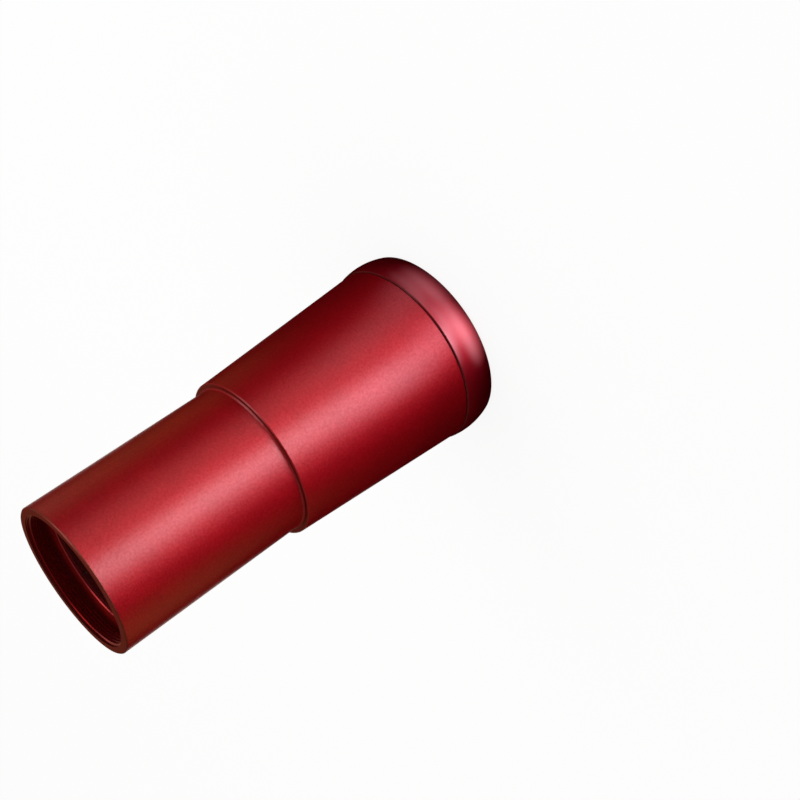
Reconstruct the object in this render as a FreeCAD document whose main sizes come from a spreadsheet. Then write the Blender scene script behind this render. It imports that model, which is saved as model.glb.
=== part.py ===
import FreeCAD, Part
import os
import Sketcher

# Collimating eyepiece for a 31.75 mm focuser, standing on its eye cap with the open mouth of the barrel up.
# Origin: centre of the eye face. +Z: the optical axis, from the eye cap to the mouth. +Y: the light window.

document = FreeCAD.newDocument("CollimatingEyepiece")

# Driving dimensions, in millimetres: name, value, what it is
dimensions = [
    ("barrelDiameter", "31.75", "outside of the barrel, which slides into the focuser"),
    ("barrelLength", "41.3", "from the shoulder to the mouth"),
    ("threadWall", "1.625", "barrel wall outside the filter thread"),
    ("threadLength", "3.4", "filter thread, from the mouth in"),
    ("reliefDepth", "0.3", "how much the thread runout is wider than the thread, on the radius"),
    ("reliefLength", "1.35", "thread runout"),
    ("lipWidth", "1.35", "lip behind the thread runout"),
    ("lipChamfer", "0.2", "inner edge of the lip"),
    ("ringSeatDepth", "2.0", "pocket for the crosshair ring, behind the lip"),
    ("ringSeatWidth", "0.45", "step that the crosshair ring sits on"),
    ("mouthChamfer", "0.2", "outer edge of the mouth"),
    ("shoulderWidth", "1.225", "flat shoulder that stops against the focuser"),
    ("shoulderChamfer", "0.2", "outer edge of the shoulder"),
    ("cornerWidth", "0.3", "sloped inner corner between barrel and shoulder"),
    ("bodyLength", "40.1", "from the cap's seat to the shoulder"),
    ("bodyFlare", "2.5", "how much the body grows towards the cap, on the radius"),
    ("bodyStep", "1.75", "how much the body's bore is wider than the barrel's, on the radius"),
    ("seamChamfer", "0.2", "edge of the body at the cap"),
    ("capThreadStep", "2.0", "how much the cap's thread is wider than the body's bore, on the radius"),
    ("spigotLength", "5.0", "threaded spigot of the cap"),
    ("spigotWall", "2.9", "wall of the spigot"),
    ("threadClearance", "0.1", "between the spigot or the reflector's flange and the body"),
    ("capHeight", "7.5", "part of the cap that shows"),
    ("capOverhang", "0.53", "how much wider the cap is than the body, at its widest, on the radius"),
    ("crownHeight", "4.6", "from the eye face to the cap's widest place"),
    ("crownRadius", "13.0", "arc of the cap's crowned side"),
    ("rimRadius", "0.65", "cap's edge at the eye face"),
    ("capSeamChamfer", "0.25", "cap's edge at the seam"),
    ("faceThickness", "4.0", "end wall of the cap"),
    ("peepholeDiameter", "2.0", "peephole"),
    ("countersink", "1.5", "countersink of the peephole, deep and wide alike, in the eye face"),
    ("flangeThickness", "1.4", "reflector's flange, held between the cap's spigot and the body"),
    ("plugClearance", "0.05", "between the reflector and the body's bore"),
    ("plugShortSide", "1.0", "reflector's wall under the lowest point of its slanted face"),
    ("plugTip", "0.6", "flat that blunts the reflector's tip"),
    ("tipClearance", "0.6", "between the reflector's tip and the end of the body's bore"),
    ("sightHoleDiameter", "9.0", "sighting hole along the reflector"),
    ("windowWidth", "14.0", "light window, across"),
    ("windowTravel", "5.0", "how far the cutter travels along the window"),
    ("windowChamfer", "0.4", "outer edge of the light window"),
    ("ringClearance", "0.05", "between the crosshair ring and its pocket"),
    ("ringThickness", "1.6", "crosshair ring"),
    ("ringWidth", "1.05", "crosshair ring, between its outside and its bore"),
    ("wireDiameter", "0.25", "crosshair wires"),
    ("wireClearance", "0.02", "round each wire in its groove, and between the two where they cross"),
]

sheet = document.addObject("Spreadsheet::Sheet", "Sizes")
row = 0
for name, value, meaning in dimensions:
    row += 1
    sheet.set("A%d" % row, name)
    sheet.set("B%d" % row, value)
    sheet.set("C%d" % row, meaning)
    sheet.setAlias("B%d" % row, name)

# Radii and heights that follow from the driving dimensions
derived = [
    ("barrelRadius", "barrelDiameter / 2"),
    ("threadRadius", "barrelRadius - threadWall"),
    ("reliefRadius", "threadRadius + reliefDepth"),
    ("ringSeatRadius", "reliefRadius - lipWidth"),
    ("barrelBoreRadius", "ringSeatRadius - ringSeatWidth"),
    ("shoulderRadius", "barrelRadius + shoulderWidth"),
    ("seatRadius", "shoulderRadius + bodyFlare"),
    ("bodyBoreRadius", "barrelBoreRadius + bodyStep"),
    ("capThreadRadius", "bodyBoreRadius + capThreadStep"),
    ("spigotRadius", "capThreadRadius - threadClearance"),
    ("plugRadius", "bodyBoreRadius - plugClearance"),
    ("sightHoleRadius", "sightHoleDiameter / 2"),
    ("peepholeRadius", "peepholeDiameter / 2"),
    ("ringRadius", "ringSeatRadius - ringClearance"),
    ("ringBoreRadius", "ringRadius - ringWidth"),
    ("spigotHeight", "capHeight + spigotLength"),
    ("flangeHeight", "spigotHeight + flangeThickness"),
    ("faceCentreHeight", "flangeHeight + plugShortSide + plugRadius"),
    ("tipHeight", "faceCentreHeight + plugRadius - plugTip"),
    ("bodyBoreHeight", "faceCentreHeight + plugRadius + tipClearance"),
    ("shoulderHeight", "capHeight + bodyLength"),
    ("mouthHeight", "shoulderHeight + barrelLength"),
    ("threadHeight", "mouthHeight - threadLength"),
    ("lipHeight", "threadHeight - reliefLength"),
    ("ringSeatHeight", "lipHeight - ringSeatDepth"),
    ("ringTopHeight", "ringSeatHeight + ringThickness"),
    ("upperWireHeight", "ringTopHeight - wireDiameter / 2"),
    ("lowerWireHeight", "upperWireHeight - wireDiameter - wireClearance"),
    ("grooveWidth", "wireDiameter + 2 * wireClearance"),
    ("crownCentre", "seatRadius + capOverhang - crownRadius"),
    ("crownToRim", "crownRadius - rimRadius"),
    ("rimCentre", "crownCentre + sqrt(crownToRim ^ 2 - (crownHeight - rimRadius) ^ 2)"),
    ("rimTopRadius", "crownCentre + (rimCentre - crownCentre) * crownRadius / crownToRim"),
    ("rimTopHeight", "crownHeight - (crownHeight - rimRadius) * crownRadius / crownToRim"),
    ("crownTopHeight", "capHeight - capSeamChamfer"),
    ("crownTopRadius", "crownCentre + sqrt(crownRadius ^ 2 - (crownTopHeight - crownHeight) ^ 2)"),
]
for name, formula in derived:
    row += 1
    sheet.set("A%d" % row, name)
    sheet.set("B%d" % row, "=" + formula)
    sheet.setAlias("B%d" % row, name)
document.recompute()


def size(name):
    return float(sheet.get(name))


def originPlane(body, role):
    for feature in body.Origin.OriginFeatures:
        if feature.Role == role:
            return feature


def newSketch(body, name, role):
    sketch = body.newObject("Sketcher::SketchObject", name)
    sketch.AttachmentSupport = [(originPlane(body, role), "")]
    sketch.MapMode = "FlatFace"
    return sketch


def bindConstraint(sketch, constraint, formula):
    number = sketch.addConstraint(constraint)
    sketch.setExpression("Constraints[%d]" % number, formula)


# A closed outline whose corners are each tied to the sheet. rounds gives the radius of a side that bulges outwards.
def addOutline(sketch, corners, rounds=None):
    rounds = rounds or {}
    points = []
    for across, along in corners:
        point = FreeCAD.Vector(sketch.evalExpression(across), sketch.evalExpression(along), 0)
        points.append(point)
    count = len(points)
    for index, start in enumerate(points):
        end = points[(index + 1) % count]
        if index in rounds:
            radius = sketch.evalExpression(rounds[index])
            chord = end - start
            rise = radius - (radius ** 2 - chord.Length ** 2 / 4) ** 0.5
            outward = FreeCAD.Vector(chord.y, -chord.x, 0).normalize()
            middle = (start + end) * 0.5 + outward * rise
            sketch.addGeometry(Part.Arc(start, middle, end), False)
        else:
            sketch.addGeometry(Part.LineSegment(start, end), False)
    ends = []
    for index in range(count):
        geometry = sketch.Geometry[index]
        startsHere = (geometry.StartPoint - points[index]).Length < 1e-6
        ends.append((1, 2) if startsHere else (2, 1))
    for index in range(count):
        following = (index + 1) % count
        joint = Sketcher.Constraint("Coincident", index, ends[index][1], following, ends[following][0])
        sketch.addConstraint(joint)
    for index, (across, along) in enumerate(corners):
        first = ends[index][0]
        bindConstraint(sketch, Sketcher.Constraint("DistanceX", -1, 1, index, first, points[index].x), across)
        bindConstraint(sketch, Sketcher.Constraint("DistanceY", -1, 1, index, first, points[index].y), along)
    for index, formula in rounds.items():
        radius = sketch.evalExpression(formula)
        bindConstraint(sketch, Sketcher.Constraint("Radius", index, radius), formula)


def turn(body, name, corners, rounds=None):
    sketch = newSketch(body, name + "Profile", "XZ_Plane")
    addOutline(sketch, corners, rounds)
    turned = body.newObject("PartDesign::Revolution", name)
    turned.Profile = sketch
    turned.ReferenceAxis = (sketch, ["V_Axis"])
    turned.Angle = 360
    document.recompute()
    return turned


# Tube: barrel, shoulder and conical body turned from one bar, bored in steps from both ends
tube = document.addObject("PartDesign::Body", "Tube")
tube.Label = "tube"
turn(tube, "TubeTurning", [
    ("Sizes.capThreadRadius", "Sizes.capHeight"),
    ("Sizes.seatRadius - Sizes.seamChamfer", "Sizes.capHeight"),
    ("Sizes.seatRadius", "Sizes.capHeight + Sizes.seamChamfer"),
    ("Sizes.shoulderRadius", "Sizes.shoulderHeight - Sizes.shoulderChamfer"),
    ("Sizes.shoulderRadius - Sizes.shoulderChamfer", "Sizes.shoulderHeight"),
    ("Sizes.barrelRadius + Sizes.cornerWidth", "Sizes.shoulderHeight"),
    ("Sizes.barrelRadius", "Sizes.shoulderHeight + Sizes.cornerWidth"),
    ("Sizes.barrelRadius", "Sizes.mouthHeight - Sizes.mouthChamfer"),
    ("Sizes.barrelRadius - Sizes.mouthChamfer", "Sizes.mouthHeight"),
    ("Sizes.threadRadius", "Sizes.mouthHeight"),
    ("Sizes.threadRadius", "Sizes.threadHeight"),
    ("Sizes.reliefRadius", "Sizes.threadHeight"),
    ("Sizes.reliefRadius", "Sizes.lipHeight"),
    ("Sizes.ringSeatRadius + Sizes.lipChamfer", "Sizes.lipHeight"),
    ("Sizes.ringSeatRadius", "Sizes.lipHeight - Sizes.lipChamfer"),
    ("Sizes.ringSeatRadius", "Sizes.ringSeatHeight"),
    ("Sizes.barrelBoreRadius", "Sizes.ringSeatHeight"),
    ("Sizes.barrelBoreRadius", "Sizes.bodyBoreHeight"),
    ("Sizes.bodyBoreRadius", "Sizes.bodyBoreHeight"),
    ("Sizes.bodyBoreRadius", "Sizes.flangeHeight"),
    ("Sizes.capThreadRadius", "Sizes.flangeHeight"),
])

# Light window: a slot milled through one wall, level with the middle of the slanted face
windowSketch = newSketch(tube, "WindowSlot", "XZ_Plane")
halfWidth = size("windowWidth") / 2
halfTravel = size("windowTravel") / 2
middle = size("faceCentreHeight")
upper = FreeCAD.Vector(0, middle + halfTravel, 0)
lower = FreeCAD.Vector(0, middle - halfTravel, 0)
side = FreeCAD.Vector(halfWidth, 0, 0)
end = FreeCAD.Vector(0, halfWidth, 0)
windowSketch.addGeometry(Part.Arc(upper + side, upper + end, upper - side), False)
windowSketch.addGeometry(Part.LineSegment(upper - side, lower - side), False)
windowSketch.addGeometry(Part.Arc(lower - side, lower - end, lower + side), False)
windowSketch.addGeometry(Part.LineSegment(lower + side, upper + side), False)
for first, firstEnd, second, secondEnd in ((0, 2, 1, 1), (1, 2, 2, 1), (2, 2, 3, 1), (3, 2, 0, 1)):
    windowSketch.addConstraint(Sketcher.Constraint("Tangent", first, firstEnd, second, secondEnd))
windowSketch.addConstraint(Sketcher.Constraint("Vertical", 1))
windowSketch.addConstraint(Sketcher.Constraint("PointOnObject", 0, 3, -2))
bindConstraint(windowSketch, Sketcher.Constraint("Radius", 0, halfWidth), "Sizes.windowWidth / 2")
bindConstraint(
    windowSketch,
    Sketcher.Constraint("DistanceY", -1, 1, 0, 3, upper.y),
    "Sizes.faceCentreHeight + Sizes.windowTravel / 2",
)
bindConstraint(
    windowSketch,
    Sketcher.Constraint("DistanceY", -1, 1, 2, 3, lower.y),
    "Sizes.faceCentreHeight - Sizes.windowTravel / 2",
)
window = tube.newObject("PartDesign::Pocket", "Window")
window.Profile = windowSketch
window.Type = "Length"
window.setExpression("Length", "Sizes.seatRadius")
document.recompute()

# The window's outer edge: its curves that lie on the outside of the wall
outerEdges = []
for number, edge in enumerate(window.Shape.Edges, 1):
    point = edge.valueAt((edge.FirstParameter + edge.LastParameter) / 2)
    fromAxis = (point.x ** 2 + point.y ** 2) ** 0.5
    across = abs(point.x) < halfWidth + 1e-4
    along = abs(point.z - middle) < halfTravel + halfWidth + 1e-4
    straight = edge.Curve.TypeId == "Part::GeomLine"
    if point.y > 0 and across and along and not straight and fromAxis > size("bodyBoreRadius") + 1e-3:
        outerEdges.append("Edge%d" % number)
windowEdge = tube.newObject("PartDesign::Chamfer", "WindowEdge")
windowEdge.Base = (window, outerEdges)
windowEdge.setExpression("Size", "Sizes.windowChamfer")
document.recompute()

# Eye cap: crowned side that runs into a rounded rim, threaded spigot, end wall with the peephole
eyeCap = document.addObject("PartDesign::Body", "EyeCap")
eyeCap.Label = "eye_cap"
turn(eyeCap, "CapTurning", [
    ("Sizes.peepholeRadius + Sizes.countersink", "0"),
    ("Sizes.rimCentre", "0"),
    ("Sizes.rimTopRadius", "Sizes.rimTopHeight"),
    ("Sizes.crownTopRadius", "Sizes.crownTopHeight"),
    ("Sizes.crownTopRadius - Sizes.capSeamChamfer", "Sizes.capHeight"),
    ("Sizes.spigotRadius", "Sizes.capHeight"),
    ("Sizes.spigotRadius", "Sizes.spigotHeight"),
    ("Sizes.spigotRadius - Sizes.spigotWall", "Sizes.spigotHeight"),
    ("Sizes.spigotRadius - Sizes.spigotWall", "Sizes.faceThickness"),
    ("Sizes.peepholeRadius", "Sizes.faceThickness"),
    ("Sizes.peepholeRadius", "Sizes.countersink"),
], rounds={1: "Sizes.rimRadius", 2: "Sizes.crownRadius"})

# Reflector: a flanged plug, cut at 45 degrees so that it turns light from the window towards the mouth
reflector = document.addObject("PartDesign::Body", "Reflector")
reflector.Label = "reflector"
turn(reflector, "PlugTurning", [
    ("Sizes.sightHoleRadius", "Sizes.spigotHeight"),
    ("Sizes.spigotRadius", "Sizes.spigotHeight"),
    ("Sizes.spigotRadius", "Sizes.flangeHeight"),
    ("Sizes.plugRadius", "Sizes.flangeHeight"),
    ("Sizes.plugRadius", "Sizes.tipHeight"),
    ("Sizes.sightHoleRadius", "Sizes.tipHeight"),
])
slantSketch = newSketch(reflector, "SlantedFace", "YZ_Plane")
addOutline(slantSketch, [
    ("2 * Sizes.plugRadius", "Sizes.faceCentreHeight - 2 * Sizes.plugRadius"),
    ("2 * Sizes.plugRadius", "Sizes.faceCentreHeight + 2 * Sizes.plugRadius"),
    ("-2 * Sizes.plugRadius", "Sizes.faceCentreHeight + 2 * Sizes.plugRadius"),
])
slantCut = reflector.newObject("PartDesign::Pocket", "SlantCut")
slantCut.Profile = slantSketch
slantCut.Type = "ThroughAll"
slantCut.Midplane = True
document.recompute()

# Crosshair ring: sits in its pocket behind the lip, with a shallow groove for each wire
crosshairRing = document.addObject("PartDesign::Body", "CrosshairRing")
crosshairRing.Label = "crosshair_ring"
turn(crosshairRing, "RingTurning", [
    ("Sizes.ringBoreRadius", "Sizes.ringSeatHeight"),
    ("Sizes.ringRadius", "Sizes.ringSeatHeight"),
    ("Sizes.ringRadius", "Sizes.ringTopHeight"),
    ("Sizes.ringBoreRadius", "Sizes.ringTopHeight"),
])


def cutGroove(name, role, wireHeight):
    sketch = newSketch(crosshairRing, name + "Section", role)
    bottom = wireHeight + " - Sizes.grooveWidth / 2"
    top = "Sizes.ringTopHeight + Sizes.wireDiameter"
    addOutline(sketch, [
        ("-Sizes.grooveWidth / 2", bottom),
        ("Sizes.grooveWidth / 2", bottom),
        ("Sizes.grooveWidth / 2", top),
        ("-Sizes.grooveWidth / 2", top),
    ])
    groove = crosshairRing.newObject("PartDesign::Pocket", name)
    groove.Profile = sketch
    groove.Type = "ThroughAll"
    groove.Midplane = True
    document.recompute()


cutGroove("GrooveAlongX", "YZ_Plane", "Sizes.lowerWireHeight")
cutGroove("GrooveAlongY", "XZ_Plane", "Sizes.upperWireHeight")


# Crosshair wires: drawn wire laid in the grooves, one over the other
def addWire(name, label, axis, heightFormula):
    wire = document.addObject("Part::Cylinder", name)
    wire.Label = label
    wire.setExpression("Radius", "Sizes.wireDiameter / 2")
    wire.setExpression("Height", "2 * Sizes.ringRadius - 2 * Sizes.wireDiameter")
    alongAxis = FreeCAD.Rotation(FreeCAD.Vector(0, 0, 1), axis)
    wire.Placement = FreeCAD.Placement(FreeCAD.Vector(0, 0, 0), alongAxis)
    letter = "x" if axis.x else "y"
    wire.setExpression("Placement.Base." + letter, "Sizes.wireDiameter - Sizes.ringRadius")
    wire.setExpression("Placement.Base.z", heightFormula)
    return wire


lowerWire = addWire("LowerWire", "crosshair_wire_x", FreeCAD.Vector(1, 0, 0), "Sizes.lowerWireHeight")
upperWire = addWire("UpperWire", "crosshair_wire_y", FreeCAD.Vector(0, 1, 0), "Sizes.upperWireHeight")
document.recompute()

# Every feature has to be sound before anything is written
for item in document.Objects:
    if "Invalid" in item.State or "Error" in item.State:
        raise RuntimeError("failed: " + item.Name + " " + str(item.State))

os.makedirs("parts", exist_ok=True)
for piece in (tube, eyeCap, reflector, crosshairRing, lowerWire, upperWire):
    shape = piece.Shape
    if shape.isNull() or not shape.isValid():
        raise RuntimeError("unsound shape: " + piece.Label)
    print(piece.Label, "solids", len(shape.Solids), "volume %.2f mm3" % shape.Volume)
    shape.exportStep("parts/" + piece.Label + ".step")
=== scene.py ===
import bpy
import math
from mathutils import Matrix, Vector


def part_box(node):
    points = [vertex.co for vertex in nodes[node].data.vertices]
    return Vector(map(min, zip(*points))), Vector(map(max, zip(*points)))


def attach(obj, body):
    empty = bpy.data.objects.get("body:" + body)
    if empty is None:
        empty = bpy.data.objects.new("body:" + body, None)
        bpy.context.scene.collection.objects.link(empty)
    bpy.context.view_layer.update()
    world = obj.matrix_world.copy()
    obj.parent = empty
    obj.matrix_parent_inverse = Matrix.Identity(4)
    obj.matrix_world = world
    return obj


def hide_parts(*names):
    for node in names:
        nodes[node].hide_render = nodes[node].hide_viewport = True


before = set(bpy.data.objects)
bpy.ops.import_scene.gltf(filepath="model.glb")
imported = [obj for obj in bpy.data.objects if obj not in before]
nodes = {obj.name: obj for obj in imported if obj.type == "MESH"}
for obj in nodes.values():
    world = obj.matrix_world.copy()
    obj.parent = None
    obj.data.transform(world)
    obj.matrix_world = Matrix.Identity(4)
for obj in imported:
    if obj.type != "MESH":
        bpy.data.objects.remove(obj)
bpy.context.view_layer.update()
mm = 0.001
noiseLow, noiseHigh = 0.3, 0.7  # nearly all values of a noise texture lie between these
print("frame loaded:", ", ".join(sorted(nodes)))


def toLinear(hexColour):
    parts = [int(hexColour[i:i + 2], 16) / 255 for i in (1, 3, 5)]
    linear = [p / 12.92 if p <= 0.04045 else ((p + 0.055) / 1.055) ** 2.4 for p in parts]
    return (*linear, 1.0)


def addNode(tree, kind, settings=None, inputs=None):
    # an input is a value, a socket, or a node, whose first output is then taken
    node = tree.nodes.new(kind)
    for name, value in (settings or {}).items():
        setattr(node, name, value)
    for socket, value in (inputs or {}).items():
        if isinstance(value, bpy.types.Node):
            value = value.outputs[0]
        if isinstance(value, bpy.types.NodeSocket):
            tree.links.new(value, node.inputs[socket])
        else:
            node.inputs[socket].default_value = value
    return node


def newMaterial(name):
    material = bpy.data.materials.new(name)
    material.use_nodes = True
    material.node_tree.nodes.clear()
    return material, material.node_tree


def addCoordinates(tree):
    # object coordinates in millimetres, the distance from the optical axis, and the height above the eye face
    coordinates = addNode(tree, "ShaderNodeTexCoord").outputs["Object"]
    inMm = addNode(tree, "ShaderNodeVectorMath", {"operation": "SCALE"}, {0: coordinates, "Scale": 1 / mm})
    axes = addNode(tree, "ShaderNodeSeparateXYZ", {}, {0: inMm}).outputs
    flat = addNode(tree, "ShaderNodeCombineXYZ", {}, {0: axes[0], 1: axes[1]})
    radius = addNode(tree, "ShaderNodeVectorMath", {"operation": "LENGTH"}, {0: flat}).outputs["Value"]
    return inMm, radius, axes[2]


def addTurning(tree, along, pitch):
    # the fine waves that a lathe tool leaves at each turn of its feed
    phase = addNode(tree, "ShaderNodeMath", {"operation": "MULTIPLY"}, {0: along, 1: 2 * math.pi / pitch})
    return addNode(tree, "ShaderNodeMath", {"operation": "SINE"}, {0: phase})


redAnodise = {
    "colour": "#C0031A",         # dye in the clear oxide over aluminium
    "bore": "#B4080E",
    "faces": "#983A2E",          # turned end faces, coloured browner as a painted reflection of dim brownish surroundings
    "edgeTint": "#F09A8C",       # at a grazing angle light goes through more of the dye
    "blotch": 6.25,              # mm, where the dye has taken a little unevenly
    "blotchRange": (0.94, 1.05),
    "roughness": 0.66,           # bead-blasted
    "facesRoughness": 0.5,
    "facesOxide": 0.4,           # share of the oxide's own shine on the turned faces
    "boreRoughness": 0.32,
    "oxideRoughness": 0.32,
    "oxideIor": 1.56,
    "grain": 0.45,               # mm, blasting grit, drawn about twice as coarse as it is so that it shows
    "grainHeight": 0.07,         # mm, raised with it
    "speckle": 0.07,             # how much darker the pits and paler the peaks are
    "pitOxide": 0.7,             # share of the oxide's own shine in the pits
    "turningPitch": 0.12,        # mm, feed of the lathe on faces and in the bore
    "turningHeight": 0.0008,     # mm
    "boreStep": 44.45,           # mm above the eye face, where the bore changes its width
    "boreWithin": (16.8, 15.2),  # mm from the axis, inside which all is bore: below and above the step
    "shoulder": (47.6, 0.03),    # mm above the eye face, and how far from it still counts
    "mouthFrom": 88.57,          # mm above the eye face
}


def makeRedAnodise():
    # Bead-blasted and dyed anodised aluminium: a metal with a soft, sandy sheen, coloured by its clear dyed oxide.
    # Its grit is finer than the picture can show, so it is drawn coarser.
    v = redAnodise
    material, tree = newMaterial("beadBlastedRedAnodise")
    position, radius, height = addCoordinates(tree)
    # bore: everything inside the wall, which was turned and not blasted
    upper = addNode(tree, "ShaderNodeMath", {"operation": "GREATER_THAN"}, {0: height, 1: v["boreStep"]})
    wall = addNode(tree, "ShaderNodeMix", {"data_type": "FLOAT"},
                   {0: upper, 2: v["boreWithin"][0], 3: v["boreWithin"][1]})
    bore = addNode(tree, "ShaderNodeMath", {"operation": "LESS_THAN"}, {0: radius, 1: wall})
    # turned faces: the shoulder and the mouth
    shoulder = addNode(tree, "ShaderNodeMath", {"operation": "COMPARE"},
                       {0: height, 1: v["shoulder"][0], 2: v["shoulder"][1]})
    mouth = addNode(tree, "ShaderNodeMath", {"operation": "GREATER_THAN"}, {0: height, 1: v["mouthFrom"]})
    faces = addNode(tree, "ShaderNodeMath", {"operation": "MAXIMUM"}, {0: shoulder, 1: mouth})
    # colour: blotches of the dye, and grit that looks darker in its pits
    blotches = addNode(tree, "ShaderNodeTexNoise", {}, {"Vector": position, "Scale": 1 / v["blotch"], "Detail": 3.0})
    dye = addNode(tree, "ShaderNodeMapRange", {},
                  {0: blotches, 1: noiseLow, 2: noiseHigh, 3: v["blotchRange"][0], 4: v["blotchRange"][1]})
    grit = addNode(tree, "ShaderNodeTexNoise", {}, {"Vector": position, "Scale": 1 / v["grain"], "Detail": 2.0})
    specks = addNode(tree, "ShaderNodeMapRange", {},
                     {0: grit, 1: noiseLow, 2: noiseHigh, 3: 1 - v["speckle"], 4: 1 + v["speckle"]})
    shade = addNode(tree, "ShaderNodeMath", {"operation": "MULTIPLY"}, {0: dye, 1: specks})
    blasted = addNode(tree, "ShaderNodeMix", {"data_type": "RGBA"},
                      {0: bore, 6: toLinear(v["colour"]), 7: toLinear(v["bore"])})
    # the turned faces take their browner colour here, a painted reflection
    base = addNode(tree, "ShaderNodeMix", {"data_type": "RGBA"},
                   {0: faces, 6: blasted.outputs[2], 7: toLinear(v["faces"])})
    colour = addNode(tree, "ShaderNodeVectorMath", {"operation": "SCALE"}, {0: base.outputs[2], "Scale": shade})
    # roughness: blasted outside, smoother where only the lathe has been
    outside = addNode(tree, "ShaderNodeMix", {"data_type": "FLOAT"},
                      {0: faces, 2: v["roughness"], 3: v["facesRoughness"]})
    roughness = addNode(tree, "ShaderNodeMix", {"data_type": "FLOAT"}, {0: bore, 2: outside, 3: v["boreRoughness"]})
    # bump: grit outside, feed rings on faces and in the bore
    along = addNode(tree, "ShaderNodeMix", {"data_type": "FLOAT"}, {0: faces, 2: height, 3: radius})
    gritRise = addNode(tree, "ShaderNodeMath", {"operation": "MULTIPLY"}, {0: grit, 1: v["grainHeight"]})
    turnedRise = addNode(tree, "ShaderNodeMath", {"operation": "MULTIPLY"},
                         {0: addTurning(tree, along, v["turningPitch"]), 1: v["turningHeight"]})
    smooth = addNode(tree, "ShaderNodeMath", {"operation": "MAXIMUM"}, {0: faces, 1: bore})
    rise = addNode(tree, "ShaderNodeMix", {"data_type": "FLOAT"}, {0: smooth, 2: gritRise, 3: turnedRise})
    bump = addNode(tree, "ShaderNodeBump", {}, {"Height": rise, "Distance": mm, "Strength": 1.0})
    # the oxide's own shine: less in the pits and on the turned faces
    pits = addNode(tree, "ShaderNodeMapRange", {},
                   {0: grit, 1: noiseLow, 2: noiseHigh, 3: v["pitOxide"], 4: 1.0})
    oxide = addNode(tree, "ShaderNodeMix", {"data_type": "FLOAT"}, {0: faces, 2: pits, 3: v["facesOxide"]})
    shader = addNode(tree, "ShaderNodeBsdfPrincipled", {}, {
        "Base Color": colour, "Metallic": 1.0, "Roughness": roughness, "Normal": bump,
        "Specular Tint": toLinear(v["edgeTint"]), "Coat Weight": oxide, "Coat Roughness": v["oxideRoughness"],
        "Coat IOR": v["oxideIor"],
    })
    addNode(tree, "ShaderNodeOutputMaterial", {}, {"Surface": shader})
    return material


capAnodise = {
    "colour": "#BC0622",
    "edgeTint": "#F09A8C",
    "blotch": 5.0,             # mm
    "blotchRange": (0.96, 1.04),
    "roughness": 0.58,
    "oxideRoughness": 0.26,
    "oxideIor": 1.75,
    "turningPitch": 0.1,       # mm
    "turningHeight": 0.0006,   # mm
    "seam": (7.2, 7.3),        # mm above the eye face, where the edge against the body begins
    "seamPaintedShade": 0.35,         # share of the colour and of the oxide's shine that is left there, as painted shade in the seam
}


def makeCapAnodise():
    # Fine-turned and dyed anodised aluminium: smoother than the blasted body, so it shines more
    v = capAnodise
    material, tree = newMaterial("fineTurnedRedAnodise")
    position, radius, height = addCoordinates(tree)
    blotches = addNode(tree, "ShaderNodeTexNoise", {}, {"Vector": position, "Scale": 1 / v["blotch"], "Detail": 2.0})
    dye = addNode(tree, "ShaderNodeMapRange", {},
                  {0: blotches, 1: noiseLow, 2: noiseHigh, 3: v["blotchRange"][0], 4: v["blotchRange"][1]})
    dyed = addNode(tree, "ShaderNodeVectorMath", {"operation": "SCALE"}, {0: toLinear(v["colour"])[:3], "Scale": dye})
    # the edge against the body: painted shade, which makes the seam darker and duller so that it reads as the shaded
    # gap
    paintedSeamShade = addNode(tree, "ShaderNodeMapRange", {},
                    {0: height, 1: v["seam"][0], 2: v["seam"][1], 3: 1.0, 4: v["seamPaintedShade"]})
    colour = addNode(tree, "ShaderNodeVectorMath", {"operation": "SCALE"}, {0: dyed, "Scale": paintedSeamShade})
    slant = addNode(tree, "ShaderNodeMath", {"operation": "ADD"}, {0: height, 1: radius})
    bump = addNode(tree, "ShaderNodeBump", {}, {
        "Height": addTurning(tree, slant, v["turningPitch"]), "Distance": v["turningHeight"] * mm, "Strength": 1.0,
    })
    shader = addNode(tree, "ShaderNodeBsdfPrincipled", {}, {
        "Base Color": colour, "Metallic": 1.0, "Roughness": v["roughness"], "Normal": bump,
        # the coat weight carries the painted seam shade too
        "Specular Tint": toLinear(v["edgeTint"]), "Coat Weight": paintedSeamShade, "Coat Roughness": v["oxideRoughness"],
        "Coat IOR": v["oxideIor"],
    })
    addNode(tree, "ShaderNodeOutputMaterial", {}, {"Surface": shader})
    return material


threadAnodise = {
    "colour": "#C01C26",
    "roughness": (0.23, 0.35),   # between the smoothest and the roughest flank
    "oxideRoughness": 0.25,
    "oxideIor": 1.5,
    "chattersPerMm": 1.3,
    "chatterHeight": 0.004,      # mm
}


def makeThreadAnodise():
    # Cut and dyed anodised aluminium: the threading tool leaves smooth flanks with a little chatter along them
    v = threadAnodise
    material, tree = newMaterial("cutRedAnodise")
    position = addCoordinates(tree)[0]
    chatter = addNode(tree, "ShaderNodeTexNoise", {}, {"Vector": position, "Scale": v["chattersPerMm"], "Detail": 1.0})
    roughness = addNode(tree, "ShaderNodeMapRange", {}, {0: chatter, 3: v["roughness"][0], 4: v["roughness"][1]})
    bump = addNode(tree, "ShaderNodeBump", {},
                   {"Height": chatter, "Distance": v["chatterHeight"] * mm, "Strength": 1.0})
    shader = addNode(tree, "ShaderNodeBsdfPrincipled", {}, {
        "Base Color": toLinear(v["colour"]), "Metallic": 1.0, "Roughness": roughness, "Normal": bump,
        "Coat Weight": 1.0, "Coat Roughness": v["oxideRoughness"], "Coat IOR": v["oxideIor"],
    })
    addNode(tree, "ShaderNodeOutputMaterial", {}, {"Surface": shader})
    return material


bareAluminium = {
    "colour": "#D9D9D6",
    "roughness": (0.22, 0.36),   # where the haze is thinnest and thickest
    "haze": 2.0,                 # mm
    "turningPitch": 0.18,        # mm
    "turningHeight": 0.0012,     # mm
}


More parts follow.
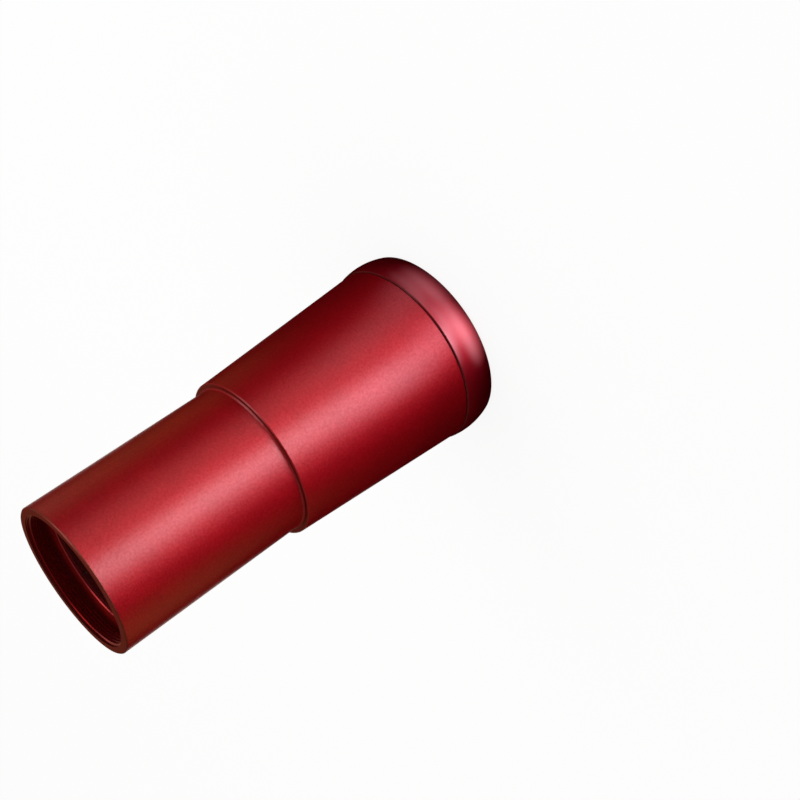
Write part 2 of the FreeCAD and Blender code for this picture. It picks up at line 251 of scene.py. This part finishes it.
def makeBareAluminium():
    # Bare aluminium, faced at 45 degrees: bright, with the arcs that a fly cutter leaves
    v = bareAluminium
    material, tree = newMaterial("facedAluminium")
    position, radius = addCoordinates(tree)[:2]
    bump = addNode(tree, "ShaderNodeBump", {}, {
        "Height": addTurning(tree, radius, v["turningPitch"]), "Distance": v["turningHeight"] * mm, "Strength": 1.0,
    })
    haze = addNode(tree, "ShaderNodeTexNoise", {}, {"Vector": position, "Scale": 1 / v["haze"], "Detail": 3.0})
    roughness = addNode(tree, "ShaderNodeMapRange", {}, {0: haze, 3: v["roughness"][0], 4: v["roughness"][1]})
    shader = addNode(tree, "ShaderNodeBsdfPrincipled", {}, {
        "Base Color": toLinear(v["colour"]), "Metallic": 1.0, "Roughness": roughness, "Normal": bump,
    })
    addNode(tree, "ShaderNodeOutputMaterial", {}, {"Surface": shader})
    return material


darkFinish = {
    # colour, roughness, patches for each millimetre
    "ring": ("#5A1014", 0.4, 1.5),
    "wire": ("#2A2826", 0.35, 4.0),
    "metallic": 0.6,
    "thinFrom": (0.35, 0.75),    # where in the noise the finish begins to thin, and where it is thinnest
    "thinPaler": (0.9, 1.6),
}


def makeDarkFinish(name, kind):
    # Dark red anodised ring and blackened wire: nearly matt, a little paler where the finish is thin
    v = darkFinish
    hexColour, roughness, perMm = v[kind]
    material, tree = newMaterial(name)
    position = addCoordinates(tree)[0]
    patches = addNode(tree, "ShaderNodeTexNoise", {}, {"Vector": position, "Scale": perMm, "Detail": 3.0})
    worn = addNode(tree, "ShaderNodeMapRange", {}, {
        0: patches, 1: v["thinFrom"][0], 2: v["thinFrom"][1], 3: v["thinPaler"][0], 4: v["thinPaler"][1],
    })
    colour = addNode(tree, "ShaderNodeVectorMath", {"operation": "SCALE"},
                     {0: toLinear(hexColour)[:3], "Scale": worn})
    shader = addNode(tree, "ShaderNodeBsdfPrincipled", {}, {
        "Base Color": colour, "Metallic": v["metallic"], "Roughness": roughness,
    })
    addNode(tree, "ShaderNodeOutputMaterial", {}, {"Surface": shader})
    return material


redBody = makeRedAnodise()
redCap = makeCapAnodise()
redThread = makeThreadAnodise()
brightFace = makeBareAluminium()
redRing = makeDarkFinish("redAnodisedRing", "ring")
darkWire = makeDarkFinish("blackenedWire", "wire")
print("materials made")

for name, material in (
    ("tube", redBody), ("reflector", brightFace), ("crosshair_ring", redRing),
    ("crosshair_wire_x", darkWire), ("crosshair_wire_y", darkWire),
):
    nodes[name].data.materials.clear()
    nodes[name].data.materials.append(material)


def newGeometryTree(name, sizes):
    tree = bpy.data.node_groups.new(name, "GeometryNodeTree")
    tree.interface.new_socket(name="Geometry", in_out="OUTPUT", socket_type="NodeSocketGeometry")
    for label, value in sizes.items():
        kind = "NodeSocketFloat"
        if isinstance(value, bpy.types.Material):
            kind = "NodeSocketMaterial"
        elif isinstance(value, int):
            kind = "NodeSocketInt"
        tree.interface.new_socket(name=label, in_out="INPUT", socket_type=kind)
    return tree, addNode(tree, "NodeGroupInput").outputs


def endGeometryTree(tree, geometry, limit, material):
    # smooth shading, with a crease where two faces meet at more than the limit
    angle = addNode(tree, "GeometryNodeInputMeshEdgeAngle").outputs["Unsigned Angle"]
    crease = addNode(tree, "ShaderNodeMath", {"operation": "GREATER_THAN"}, {0: angle, 1: limit})
    smooth = addNode(tree, "GeometryNodeSetShadeSmooth", {"domain": "FACE"}, {0: geometry, "Shade Smooth": True})
    creased = addNode(tree, "GeometryNodeSetShadeSmooth", {"domain": "EDGE"},
                      {0: smooth, "Selection": crease, "Shade Smooth": False})
    real = addNode(tree, "GeometryNodeRealizeInstances", {}, {0: creased})
    painted = addNode(tree, "GeometryNodeSetMaterial", {}, {0: real, "Material": material})
    addNode(tree, "NodeGroupOutput", {}, {0: painted})


def makePiece(name, tree, sizes):
    # runs the tree once and keeps its result as a plain mesh
    carrier = bpy.data.objects.new(name + "Maker", bpy.data.meshes.new(name + "Maker"))
    bpy.context.scene.collection.objects.link(carrier)
    modifier = carrier.modifiers.new("maker", "NODES")
    modifier.node_group = tree
    for item in tree.interface.items_tree:
        if item.item_type == "SOCKET" and item.in_out == "INPUT":
            modifier[item.identifier] = sizes[item.name]
    carrier.update_tag()
    evaluated = carrier.evaluated_get(bpy.context.evaluated_depsgraph_get())
    mesh = bpy.data.meshes.new_from_object(evaluated)
    bpy.data.objects.remove(carrier)
    mesh.name = name
    piece = bpy.data.objects.new(name, mesh)
    bpy.context.scene.collection.objects.link(piece)
    return piece


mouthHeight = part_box("tube")[1].z
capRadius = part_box("eye_cap")[1].x

filterThread = {
    # mm, where nothing else is said
    "majorRadius": 14.25,
    "depth": 0.33,
    "pitch": 0.6,
    "turns": 5.3,
    "crestWidth": 0.09,
    "rootWidth": 0.47,
    "rootInWall": 0.05,     # how far the ridge is sunk into the wall
    "fromMouth": 0.16,      # where the first turn begins
    "stepsPerTurn": 128,
    "fade": 0.14,           # share of the length over which the ridge rises and dies out
    "endSize": 0.02,        # share of the ridge's size that is left at its very ends
    "smoothAngle": 30.0,    # degrees
}


def makeFilterThread():
    # Internal screw thread: one ridge that winds down from the mouth
    v = filterThread
    sizes = {
        "Radius": v["majorRadius"] * mm, "Ridge Height": (v["depth"] + v["rootInWall"]) * mm,
        "Sunk": v["rootInWall"] * mm, "Pitch": v["pitch"] * mm, "Turns": v["turns"],
        "Crest Width": v["crestWidth"] * mm, "Root Width": v["rootWidth"] * mm,
        "Start Height": mouthHeight - (v["fromMouth"] + v["turns"] * v["pitch"]) * mm,
        "Steps Per Turn": v["stepsPerTurn"], "Fade": v["fade"], "End Size": v["endSize"],
        "Smooth Angle": math.radians(v["smoothAngle"]), "Material": redThread,
    }
    tree, given = newGeometryTree("internalThread", sizes)
    length = addNode(tree, "ShaderNodeMath", {"operation": "MULTIPLY"}, {0: given["Pitch"], 1: given["Turns"]})
    spiral = addNode(tree, "GeometryNodeCurveSpiral", {}, {
        "Resolution": given["Steps Per Turn"], "Rotations": given["Turns"], "Start Radius": given["Radius"],
        "End Radius": given["Radius"], "Height": length, "Reverse": True,  # right-handed
    })
    upright = addNode(tree, "GeometryNodeSetCurveNormal", {"mode": "Z_UP"}, {0: spiral})
    # the ridge rises and dies out at both ends
    place = addNode(tree, "GeometryNodeSplineParameter").outputs["Factor"]
    left = addNode(tree, "ShaderNodeMath", {"operation": "SUBTRACT"}, {0: 1.0, 1: place})
    nearest = addNode(tree, "ShaderNodeMath", {"operation": "MINIMUM"}, {0: place, 1: left})
    rise = addNode(tree, "ShaderNodeMapRange", {"interpolation_type": "SMOOTHSTEP"},
                   {0: nearest, 2: given["Fade"], 3: given["End Size"], 4: 1.0})
    # cross-section: a trapezoid whose narrow side points to the axis
    section = addNode(tree, "GeometryNodeCurvePrimitiveQuadrilateral", {"mode": "TRAPEZOID"}, {
        "Height": given["Ridge Height"], "Bottom Width": given["Crest Width"], "Top Width": given["Root Width"],
        "Offset": 0.0,
    })
    half = addNode(tree, "ShaderNodeMath", {"operation": "MULTIPLY"}, {0: given["Ridge Height"], 1: -0.5})
    inward = addNode(tree, "ShaderNodeMath", {"operation": "ADD"}, {0: half, 1: given["Sunk"]})
    shift = addNode(tree, "ShaderNodeCombineXYZ", {}, {0: inward})
    placed = addNode(tree, "GeometryNodeTransform", {},
                     {0: section, "Translation": shift, "Rotation": (0.0, 0.0, -math.pi / 2)})
    ridge = addNode(tree, "GeometryNodeCurveToMesh", {},
                    {"Curve": upright, "Profile Curve": placed, "Fill Caps": True, "Scale": rise})
    lift = addNode(tree, "ShaderNodeCombineXYZ", {}, {2: given["Start Height"]})
    lifted = addNode(tree, "GeometryNodeTransform", {}, {0: ridge, "Translation": lift})
    endGeometryTree(tree, lifted, given["Smooth Angle"], given["Material"])
    return makePiece("filterThread", tree, sizes)


eyeCapSizes = {
    # mm, where nothing else is said
    "capHeight": 7.5,
    "crownRadius": 13.0,
    "crownHeight": 4.6,       # of the crown's centre, above the eye face
    "rimRadius": 0.65,
    "seamChamfer": 0.25,
    "spigotRadius": 16.4,
    "spigotTop": 12.5,
    "recessRadius": 13.5,
    "faceThickness": 4.0,
    "peepholeRadius": 1.0,
    "countersink": 1.5,
    "stepsAround": 256,
    "stepsOnArc": 24,
    "smoothAngle": 25.0,      # degrees
    "hubRadius": 0.01,        # the tiny circle round the axis that the outline is swept along
    "weldDistance": 0.0002,
}


def makeEyeCap():
    # Turned cap: its outline is swept once round the axis.
    # In the outline X is the distance from the axis and Y the height.
    v = eyeCapSizes
    crownCentre = capRadius / mm - v["crownRadius"]
    reach = v["crownRadius"] - v["rimRadius"]
    drop = v["crownHeight"] - v["rimRadius"]
    rimCentre = crownCentre + math.sqrt(reach ** 2 - drop ** 2)
    rimAngle = math.atan2(-drop, rimCentre - crownCentre)
    seamRise = v["capHeight"] - v["seamChamfer"] - v["crownHeight"]
    seamAngle = math.asin(seamRise / v["crownRadius"])
    seamRadius = crownCentre + v["crownRadius"] * math.cos(seamAngle)
    sizes = {
        "Rim Radius": v["rimRadius"] * mm, "Rim Centre": rimCentre * mm, "Rim Angle": -math.pi / 2,
        "Rim Sweep": rimAngle + math.pi / 2, "Crown Radius": v["crownRadius"] * mm,
        "Crown Centre": crownCentre * mm, "Crown Height": v["crownHeight"] * mm, "Crown Angle": rimAngle,
        "Crown Sweep": seamAngle - rimAngle, "Seam Radius": seamRadius * mm,
        "Seam Chamfer": v["seamChamfer"] * mm, "Cap Height": v["capHeight"] * mm,
        "Spigot Radius": v["spigotRadius"] * mm, "Spigot Top": v["spigotTop"] * mm,
        "Recess Radius": v["recessRadius"] * mm, "Face Thickness": v["faceThickness"] * mm,
        "Peephole Radius": v["peepholeRadius"] * mm, "Countersink": v["countersink"] * mm,
        "Steps Around": v["stepsAround"], "Steps On Arc": v["stepsOnArc"],
        "Smooth Angle": math.radians(v["smoothAngle"]), "Hub Radius": v["hubRadius"] * mm,
        "Weld Distance": v["weldDistance"] * mm, "Material": redCap,
    }
    tree, given = newGeometryTree("turnedCap", sizes)
    seamLow = addNode(tree, "ShaderNodeMath", {"operation": "SUBTRACT"},
                      {0: given["Cap Height"], 1: given["Seam Chamfer"]})
    seamIn = addNode(tree, "ShaderNodeMath", {"operation": "SUBTRACT"},
                     {0: given["Seam Radius"], 1: given["Seam Chamfer"]})
    flare = addNode(tree, "ShaderNodeMath", {"operation": "ADD"},
                    {0: given["Peephole Radius"], 1: given["Countersink"]})
    outline = addNode(tree, "GeometryNodeJoinGeometry")
    for part in ("Rim", "Crown"):
        height = given["Rim Radius"] if part == "Rim" else given["Crown Height"]
        arc = addNode(tree, "GeometryNodeCurveArc", {"mode": "RADIUS"}, {
            "Resolution": given["Steps On Arc"], "Radius": given[part + " Radius"],
            "Start Angle": given[part + " Angle"], "Sweep Angle": given[part + " Sweep"],
        })
        centre = addNode(tree, "ShaderNodeCombineXYZ", {}, {0: given[part + " Centre"], 1: height})
        moved = addNode(tree, "GeometryNodeTransform", {}, {0: arc, "Translation": centre})
        tree.links.new(moved.outputs[0], outline.inputs[0])
    # the straight sides, from the seam over the spigot and the recess to the eye face
    corners = [addNode(tree, "ShaderNodeCombineXYZ", {}, {0: radius, 1: height}) for radius, height in (
        (given["Seam Radius"], seamLow), (seamIn, given["Cap Height"]),
        (given["Spigot Radius"], given["Cap Height"]), (given["Spigot Radius"], given["Spigot Top"]),
        (given["Recess Radius"], given["Spigot Top"]), (given["Recess Radius"], given["Face Thickness"]),
        (given["Peephole Radius"], given["Face Thickness"]), (given["Peephole Radius"], given["Countersink"]),
        (flare, 0.0), (given["Rim Centre"], 0.0),
    )]
    for start, end in zip(corners, corners[1:]):
        side = addNode(tree, "GeometryNodeCurvePrimitiveLine", {}, {"Start": start, "End": end})
        tree.links.new(side.outputs[0], outline.inputs[0])
    # the sweep turns the outline's Y down, so the outline is laid over first
    back = addNode(tree, "ShaderNodeMath", {"operation": "MULTIPLY"}, {0: given["Hub Radius"], 1: -1.0})
    offset = addNode(tree, "GeometryNodeTransform", {}, {
        0: outline, "Translation": addNode(tree, "ShaderNodeCombineXYZ", {}, {0: back}),
        "Rotation": (math.pi, 0.0, 0.0),
    })
    circle = addNode(tree, "GeometryNodeCurvePrimitiveCircle", {},
                     {"Resolution": given["Steps Around"], "Radius": given["Hub Radius"]})
    upright = addNode(tree, "GeometryNodeSetCurveNormal", {"mode": "Z_UP"}, {0: circle})
    swept = addNode(tree, "GeometryNodeCurveToMesh", {}, {"Curve": upright, "Profile Curve": offset})
    welded = addNode(tree, "GeometryNodeMergeByDistance", {}, {0: swept, "Distance": given["Weld Distance"]})
    endGeometryTree(tree, welded, given["Smooth Angle"], given["Material"])
    return makePiece("eyeCap", tree, sizes)


def faceOutwards(piece):
    # turns the faces of a closed piece the right way, from the sign of its volume
    mesh = piece.data
    mesh.calc_loop_triangles()
    volume = 0.0
    for triangle in mesh.loop_triangles:
        a, b, c = (mesh.vertices[i].co for i in triangle.vertices)
        volume += a.dot(b.cross(c)) / 6
    if volume < 0:
        mesh.flip_normals()
    print(piece.name, "triangles", len(mesh.loop_triangles), "volume %.1f mm3" % (abs(volume) / mm ** 3))


thread = makeFilterThread()
faceOutwards(thread)
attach(thread, "root")
eyeCap = makeEyeCap()
faceOutwards(eyeCap)
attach(eyeCap, "root")
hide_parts("eye_cap")
print("thread and cap made")

camera = {
    "position": (0.0, -252.84, 146.49),   # mm
    "target": (-7.366, 0.0, 13.13),       # mm
    "roll": 234.674,                      # degrees, the picture lies over on its side
    "lens": 62.716,                       # mm, as is the sensor's width
    "sensor": 36.0,
    "clipStart": 10.0,                    # mm
}
eye = Vector(camera["position"]) * mm
aim = (Vector(camera["target"]) * mm - eye).normalized()
across = aim.cross(Vector((0, 0, 1))).normalized()
above = across.cross(aim)
roll = math.radians(camera["roll"])
cameraX = across * math.cos(roll) + above * math.sin(roll)
cameraY = above * math.cos(roll) - across * math.sin(roll)
cameraData = bpy.data.cameras.new("camera")
cameraData.lens = camera["lens"]
cameraData.sensor_width = camera["sensor"]
cameraData.clip_start = camera["clipStart"] * mm
cameraObject = bpy.data.objects.new("camera", cameraData)
bpy.context.scene.collection.objects.link(cameraObject)
turn = Matrix((cameraX, cameraY, -aim)).transposed().to_4x4()
cameraObject.matrix_world = Matrix.Translation(eye) @ turn
bpy.context.scene.camera = cameraObject
print("camera placed")

stage = {
    "floorSize": 3000.0,      # mm
    "floorColour": "#FCFCFA",
    "floorShadow": 0.12,      # how much of the floor's own shading, with the shadow, the camera sees
    "skyLight": 0.8,
    "lampsAimAt": 45,         # mm above the floor
    "softboxes": [
        # name, place in mm, side in mm, brightness
        ("sideSoftbox", (170, -35, 300), 170, 1.6),
        ("backSoftbox", (150, 230, 260), 150, 0.6),
    ],
}


def addStageMesh(name, corners, faces, material):
    mesh = bpy.data.meshes.new(name)
    mesh.from_pydata([Vector(c) * mm for c in corners], [], faces)
    mesh.materials.append(material)
    piece = bpy.data.objects.new(name, mesh)
    bpy.context.scene.collection.objects.link(piece)
    return piece


def addSeen(tree):
    # 1 for what the camera, metal and glass see, and 0 for the light that a surface scatters
    paths = addNode(tree, "ShaderNodeLightPath").outputs
    either = addNode(tree, "ShaderNodeMath", {"operation": "MAXIMUM"},
                     {0: paths["Is Camera Ray"], 1: paths["Is Glossy Ray"]})
    return addNode(tree, "ShaderNodeMath", {"operation": "MAXIMUM"}, {0: either, 1: paths["Is Transmission Ray"]})


# floor: pale paper. The camera, metal and glass see it white, less the object's shadow.
floorMaterial, tree = newMaterial("paleFloor")
paper = addNode(tree, "ShaderNodeBsdfDiffuse", {}, {"Color": toLinear(stage["floorColour"])})
white = addNode(tree, "ShaderNodeEmission", {}, {"Strength": 1.0})
share = addNode(tree, "ShaderNodeMath", {"operation": "MULTIPLY"}, {0: addSeen(tree), 1: 1 - stage["floorShadow"]})
floorShader = addNode(tree, "ShaderNodeMixShader", {}, {0: share, 1: paper, 2: white})
addNode(tree, "ShaderNodeOutputMaterial", {}, {"Surface": floorShader})
half = stage["floorSize"] / 2
addStageMesh("floor", [(-half, -half, 0), (half, -half, 0), (half, half, 0), (-half, half, 0)], [(0, 1, 2, 3)],
             floorMaterial)

world = bpy.data.worlds.new("world")
world.use_nodes = True
world.node_tree.nodes.clear()
tree = world.node_tree
level = addNode(tree, "ShaderNodeMapRange", {}, {0: addSeen(tree), 3: stage["skyLight"], 4: 1.0})
sky = addNode(tree, "ShaderNodeBackground", {}, {"Color": (1.0, 1.0, 1.0, 1.0), "Strength": level})
addNode(tree, "ShaderNodeOutputWorld", {}, {"Surface": sky})
bpy.context.scene.world = world

# tent: dark cloth round the object that only polished surfaces see, with lit patches on the floor and a dim glow
# high up. A patch fades out from its middle, in bearing and in distance.
tent = {
    # the cloth's outline, as distance from the axis and height in mm
    "outline": [(19.3, 0.12), (60, 0.12), (320, 0.3), (420, 90), (420, 300), (250, 480), (1, 500)],
    "steps": 96,
    "contact": (20.0, 23.0),     # mm from the axis, where the cloth comes out of the cap's own shade
    "contactShade": 0.4,
    "heights": (30.0, 140.0),    # mm, where the patches end and the glow begins
    "bearings": (60.0, 150.0),   # degrees either way from the camera's side, where ahead turns into behind
    "glowAhead": "#8A8284",
    "glowBehind": "#7A5A44",
    "patches": [
        # bearing in degrees from the camera's side towards +X, half width in degrees, distance in mm,
        # reach as a natural logarithm of distance, brightness, colour
        (-8.0, 20.0, 150.0, 2.5, 1.5, "#F4F4FF"),
        (-10.0, 28.0, 230.0, 1.1, 5.3, "#FAFAFF"),
        (-17.0, 28.0, 80.0, 0.8, 5.7, "#ECECFF"),
        (-12.0, 28.0, 24.0, 0.3, 3.0, "#F0F0FF"),
        (-2.0, 28.0, 38.0, 0.55, 2.8, "#ECECFF"),
        (38.0, 36.0, 38.0, 0.55, 0.95, "#F0F0FF"),
        (20.0, 40.0, 24.0, 0.3, 1.1, "#F0F0FF"),
        (28.0, 48.0, 230.0, 1.1, 0.95, "#FFF4E8"),
        (28.0, 38.0, 80.0, 0.8, 1.1, "#FAFAFF"),
        (-30.0, 28.0, 200.0, 1.3, 0.85, "#F4F4FF"),
        (-100.0, 44.0, 300.0, 0.9, 0.5, "#E8C078"),
        (108.0, 44.0, 230.0, 1.1, 0.38, "#E0B468"),
        (105.0, 48.0, 420.0, 0.4, 0.6, "#FFF0E4"),
        (45.0, 42.0, 430.0, 0.35, 0.7, "#FAFAFF"),
        (180.0, 34.0, 230.0, 1.1, 2.8, "#FFF8F0"),
        (180.0, 38.0, 60.0, 0.9, 3.2, "#FFF8F0"),
    ],
}


def makeTentCloth():
    # Black cloth with soft lit patches: it shows in the metal as broad highlights between dark sides
    material, tree = newMaterial("tentCloth")
    position, distance, height = addCoordinates(tree)
    axes = addNode(tree, "ShaderNodeSeparateXYZ", {}, {0: position}).outputs
    ahead = addNode(tree, "ShaderNodeMath", {"operation": "MULTIPLY"}, {0: axes[1], 1: -1.0})
    bearing = addNode(tree, "ShaderNodeMath", {"operation": "ARCTAN2"}, {0: axes[0], 1: ahead})
    degrees = addNode(tree, "ShaderNodeMath", {"operation": "DEGREES"}, {0: bearing})
    cloth = (0.0, 0.0, 0.0)
    for middle, halfWidth, away, reach, brightness, colour in tent["patches"]:
        aside = addNode(tree, "ShaderNodeMath", {"operation": "SUBTRACT"}, {0: degrees, 1: middle})
        turned = addNode(tree, "ShaderNodeMath", {"operation": "WRAP"}, {0: aside, 1: 180.0, 2: -180.0})
        acrossPatch = addNode(tree, "ShaderNodeMath", {"operation": "DIVIDE"}, {0: turned, 1: halfWidth})
        ratio = addNode(tree, "ShaderNodeMath", {"operation": "DIVIDE"}, {0: distance, 1: away})
        further = addNode(tree, "ShaderNodeMath", {"operation": "LOGARITHM"}, {0: ratio, 1: math.e})
        alongPatch = addNode(tree, "ShaderNodeMath", {"operation": "DIVIDE"}, {0: further, 1: reach})
        both = addNode(tree, "ShaderNodeCombineXYZ", {}, {0: acrossPatch, 1: alongPatch})
        offset = addNode(tree, "ShaderNodeVectorMath", {"operation": "LENGTH"}, {0: both}).outputs["Value"]
        patch = addNode(tree, "ShaderNodeMapRange", {"interpolation_type": "SMOOTHSTEP"},
                        {0: offset, 3: brightness, 4: 0.0})
        coloured = addNode(tree, "ShaderNodeVectorMath", {"operation": "SCALE"},
                           {0: toLinear(colour)[:3], "Scale": patch})
        cloth = addNode(tree, "ShaderNodeVectorMath", {"operation": "ADD"}, {0: coloured, 1: cloth})
    shade = addNode(tree, "ShaderNodeMapRange", {},
                    {0: distance, 1: tent["contact"][0], 2: tent["contact"][1], 3: tent["contactShade"]})
    shaded = addNode(tree, "ShaderNodeVectorMath", {"operation": "SCALE"}, {0: cloth, "Scale": shade})
    eitherWay = addNode(tree, "ShaderNodeMath", {"operation": "ABSOLUTE"}, {0: degrees})
    behind = addNode(tree, "ShaderNodeMapRange", {"interpolation_type": "SMOOTHSTEP"},
                     {0: eitherWay, 1: tent["bearings"][0], 2: tent["bearings"][1]})
    glow = addNode(tree, "ShaderNodeMix", {"data_type": "RGBA"},
                   {0: behind, 6: toLinear(tent["glowAhead"]), 7: toLinear(tent["glowBehind"])})
    raised = addNode(tree, "ShaderNodeMapRange", {"interpolation_type": "SMOOTHSTEP"},
                     {0: height, 1: tent["heights"][0], 2: tent["heights"][1]})
    lit = addNode(tree, "ShaderNodeMix", {"data_type": "RGBA"}, {0: raised, 6: shaded, 7: glow.outputs[2]})
    shader = addNode(tree, "ShaderNodeEmission", {}, {"Color": lit.outputs[2], "Strength": 1.0})
    addNode(tree, "ShaderNodeOutputMaterial", {}, {"Surface": shader})
    return material


def addTent(material):
    # the outline goes once round the object
    corners, faces = [], []
    for step in range(tent["steps"] + 1):
        angle = math.radians(360 * step / tent["steps"] - 180)
        for distance, height in tent["outline"]:
            corners.append((distance * math.sin(angle), -distance * math.cos(angle), height))
    row = len(tent["outline"])
    for step in range(tent["steps"]):
        for i in range(row - 1):
            first = step * row + i
            faces.append((first, first + 1, first + row + 1, first + row))
    piece = addStageMesh("tent", corners, faces, material)
    piece.visible_camera = False
    piece.visible_diffuse = False
    piece.visible_transmission = False
    piece.visible_shadow = False


def addSoftbox(name, position, side, brightness):
    # a square lamp that faces the middle of the object, as bright per area as the number says
    lamp = bpy.data.lights.new(name, "AREA")
    lamp.shape = "RECTANGLE"
    lamp.size = side * mm
    lamp.size_y = side * mm
    lamp.energy = brightness * math.pi * lamp.size * lamp.size_y
    piece = bpy.data.objects.new(name, lamp)
    bpy.context.scene.collection.objects.link(piece)
    place = Vector(position) * mm
    toObject = Vector((0, 0, stage["lampsAimAt"] * mm)) - place
    piece.matrix_world = Matrix.Translation(place) @ toObject.to_track_quat("-Z", "Y").to_matrix().to_4x4()
    piece.visible_camera = False


addTent(makeTentCloth())
for name, position, side, brightness in stage["softboxes"]:
    addSoftbox(name, position, side, brightness)
print("stage set")

bpy.context.scene.view_settings.view_transform = "Standard"
